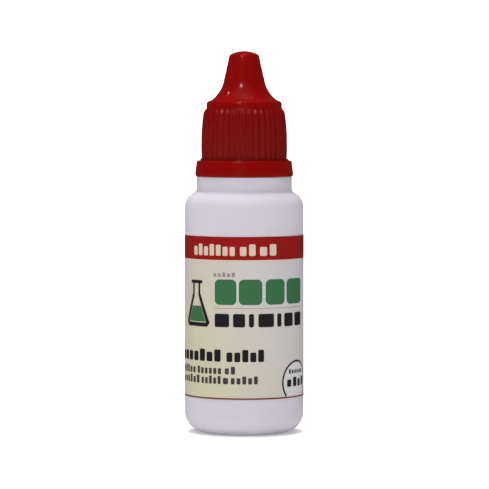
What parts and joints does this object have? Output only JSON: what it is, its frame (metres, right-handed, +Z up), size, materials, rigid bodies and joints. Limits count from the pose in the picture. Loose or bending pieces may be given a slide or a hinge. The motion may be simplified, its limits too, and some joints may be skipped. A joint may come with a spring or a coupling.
{
  "type": "dropper bottle",
  "caption": "Squeezable white plastic reagent bottle with a press-in dropper nozzle, a ribbed screw cap with a tall spire, a tamper band and a wrap-around label.",
  "frame": {"origin": "centre of the bottle's axis in the plane of the foot ring that it stands on", "axes": "+Z up along the bottle's axis towards the cap's tip, -Y towards the middle of the label's front, +X to the right as seen from the front"},
  "size_m": [0.0272, 0.0272, 0.0867],
  "materials": {
    "bottle": "satin white polyethylene, blow-moulded",
    "insert": "natural low-density polyethylene",
    "cap": "glossy deep red polypropylene",
    "label": "printed self-adhesive film with a slight sheen"
  },
  "bodies": {
    "bottle": {"bottle": "bottle", "dropper_insert": "insert", "label": "label"},
    "tamper_band": {"tamper_band": "cap", "tamper_bridges": "cap"},
    "cap": {"cap": "cap"}
  },
  "joints": [
    {"name": "cap_turn", "type": "hinge", "parent": "bottle", "child": "tamper_band", "pos_m": [0, 0, 0], "axis": [0, 0, 1], "range_deg": [0, 2880]},
    {"name": "cap_rise", "type": "slide", "parent": "tamper_band", "child": "cap", "axis": [0, 0, 1], "range_m": [0, 0.024]}
  ],
  "couplings": [
    {"joint": "cap_rise", "follows": "cap_turn", "m_per_rad": 0.00047746}
  ]
}
